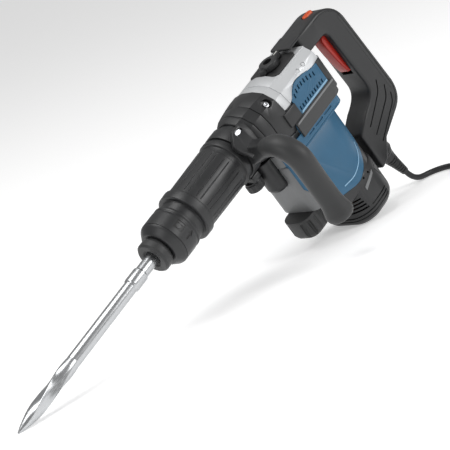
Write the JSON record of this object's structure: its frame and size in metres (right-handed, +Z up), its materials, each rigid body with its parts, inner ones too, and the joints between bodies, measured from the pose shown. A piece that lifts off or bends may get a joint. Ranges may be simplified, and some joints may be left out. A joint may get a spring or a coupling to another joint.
{
  "type": "demolition hammer",
  "caption": "Electric demolition hammer with a pointed chisel, D-shaped trigger handle, swinging side handle and coiled mains cord, standing nose down on its point and base.",
  "frame": {"origin": "on the floor, under the middle of the tool's plan, leaving out the cord and what is on it", "axes": "+X along the floor from the chisel point towards the main handle, +Y to the tool's right, +Z up; the hammer axis points 20.14 degrees down towards the chisel point"},
  "size_m": [0.9108, 0.2516, 0.2863],
  "materials": {
    "chisel_steel": "ground and blasted tool steel",
    "bright_steel": "ground steel",
    "dark_steel": "blackened steel",
    "cast_alloy": "fine cast, silver painted",
    "cover_grey": "fine cast, grey painted",
    "charcoal_plastic": "fine moulded texture",
    "black_plastic": "fine moulded texture",
    "soft_grip": "soft over-moulding",
    "band_grey": "soft bumper",
    "housing_blue": "fine moulded texture",
    "trigger_red": "satin",
    "button_orange": "satin",
    "winding_copper": "varnished windings",
    "carbon": "pressed carbon",
    "module_white": "moulded",
    "cord_rubber": "rubber sheath"
  },
  "bodies": {
    "housing": {"barrel_sleeve": "charcoal_plastic", "hammer_tube": "bright_steel", "gear_housing": "cast_alloy", "neck_hood": "charcoal_plastic", "hood_screw_left": "dark_steel", "hood_screw_right": "dark_steel", "top_panel": "black_plastic", "side_cover_left": "housing_blue", "side_cover_right": "housing_blue", "rear_cover": "charcoal_plastic", "bumper_band": "band_grey", "front_cover": "cover_grey", "motor_housing": "housing_blue", "end_cap": "charcoal_plastic", "front_boss": "charcoal_plastic", "front_foot": "soft_grip", "handle_left": "charcoal_plastic", "handle_right": "charcoal_plastic", "grip_pad": "soft_grip", "switch_module": "black_plastic", "speed_controller": "module_white", "crank_bearing": "dark_steel", "stator": "dark_steel", "armature_bearing_top": "bright_steel", "armature_bearing_bottom": "bright_steel", "brush_holder_left": "winding_copper", "brush_holder_right": "winding_copper", "carbon_brush_left": "carbon", "carbon_brush_right": "carbon", "strain_relief": "cord_rubber", "cord": "cord_rubber", "cord_coil": "cord_rubber", "plug_body": "cord_rubber", "plug_pin_left": "bright_steel", "plug_pin_right": "bright_steel"},
    "holder": {"tool_holder": "dark_steel", "dust_cap": "soft_grip", "sleeve_spring": "bright_steel"},
    "sleeve": {"locking_sleeve": "charcoal_plastic"},
    "bar_left": {"locking_bar_left": "bright_steel"},
    "bar_right": {"locking_bar_right": "bright_steel"},
    "chisel": {"chisel": "chisel_steel"},
    "anvil": {"impact_bolt": "dark_steel"},
    "striker": {"striker": "dark_steel"},
    "piston": {"piston": "cast_alloy"},
    "rotor": {"armature": "winding_copper", "fan": "black_plastic"},
    "crank": {"crankshaft": "dark_steel", "crank_gear": "bright_steel"},
    "rod": {"connecting_rod": "cast_alloy", "wrist_pin": "bright_steel"},
    "trigger": {"trigger": "trigger_red"},
    "lock_button": {"lock_button": "button_orange"},
    "selector": {"selector_knob": "charcoal_plastic"},
    "side_handle": {"clamp_band": "charcoal_plastic", "side_handle_arm": "charcoal_plastic", "side_handle_grip": "soft_grip", "clamp_bolt": "bright_steel"},
    "clamp_knob": {"clamp_knob": "charcoal_plastic"}
  },
  "joints": [
    {"name": "holder_turn", "type": "hinge", "parent": "housing", "child": "holder", "pos_m": [0.00534, 0.04265, 0.14019], "axis": [0.9389, 0, 0.3443], "continuous": true},
    {"name": "sleeve_slide", "type": "slide", "parent": "holder", "child": "sleeve", "axis": [0.9389, 0, 0.3443], "range_m": [0, 0.009], "stiffness_N_per_m": 1200, "springref_m": -0.004, "deforming": ["sleeve_spring"]},
    {"name": "bar_left_slide", "type": "slide", "parent": "holder", "child": "bar_left", "axis": [0, -1, 0], "range_m": [0, 0.0028]},
    {"name": "bar_right_slide", "type": "slide", "parent": "holder", "child": "bar_right", "axis": [0, 1, 0], "range_m": [0, 0.0028]},
    {"name": "chisel_slide", "type": "slide", "parent": "holder", "child": "chisel", "axis": [0.9389, 0, 0.3443], "range_m": [-0.018, 0]},
    {"name": "anvil_slide", "type": "slide", "parent": "holder", "child": "anvil", "axis": [0.9389, 0, 0.3443], "range_m": [-0.009, 0]},
    {"name": "striker_slide", "type": "slide", "parent": "housing", "child": "striker", "axis": [0.9389, 0, 0.3443], "range_m": [0, 0.022]},
    {"name": "piston_slide", "type": "slide", "parent": "housing", "child": "piston", "axis": [0.9389, 0, 0.3443], "range_m": [0, 0.022]},
    {"name": "rotor_spin", "type": "hinge", "parent": "housing", "child": "rotor", "pos_m": [0.22629, 0.04265, 0.10406], "axis": [-0.3443, 0, 0.9389], "continuous": true},
    {"name": "crank_spin", "type": "hinge", "parent": "housing", "child": "crank", "pos_m": [0.17121, 0.04265, 0.15842], "axis": [-0.3443, 0, 0.9389], "continuous": true},
    {"name": "rod_swing", "type": "hinge", "parent": "crank", "child": "rod", "pos_m": [0.14711, 0.04265, 0.19218], "axis": [-0.3443, 0, 0.9389], "continuous": true},
    {"name": "trigger_pull", "type": "hinge", "parent": "housing", "child": "trigger", "pos_m": [0.29254, 0.04265, 0.24871], "axis": [0, -1, 0], "range_deg": [0, 5.5], "stiffness_Nm_per_rad": 2, "springref_deg": -5.73},
    {"name": "lock_button_press", "type": "slide", "parent": "housing", "child": "lock_button", "axis": [0.3443, 0, -0.9389], "range_m": [0, 0.003], "stiffness_N_per_m": 600, "springref_m": -0.002},
    {"name": "selector_turn", "type": "hinge", "parent": "housing", "child": "selector", "pos_m": [0.18635, 0.04265, 0.24492], "axis": [-0.3443, 0, 0.9389], "range_deg": [-90, 0]},
    {"name": "side_handle_swing", "type": "hinge", "parent": "housing", "child": "side_handle", "pos_m": [0.07482, 0.04265, 0.16567], "axis": [0.9389, 0, 0.3443], "range_deg": [-190, 15]},
    {"name": "clamp_knob_turn", "type": "hinge", "parent": "side_handle", "child": "clamp_knob", "pos_m": [0.09548, 0.04265, 0.10934], "axis": [-0.3443, 0, 0.9389], "continuous": true}
  ],
  "couplings": [
    {"joint": "bar_left_slide", "follows": "sleeve_slide", "ratio": 0.3},
    {"joint": "bar_right_slide", "follows": "sleeve_slide", "ratio": 0.3},
    {"joint": "anvil_slide", "follows": "chisel_slide", "ratio": 0.5},
    {"joint": "crank_spin", "follows": "rotor_spin", "ratio": -0.175},
    {"joint": "rod_swing", "follows": "rotor_spin", "ratio": 0.175}
  ]
}
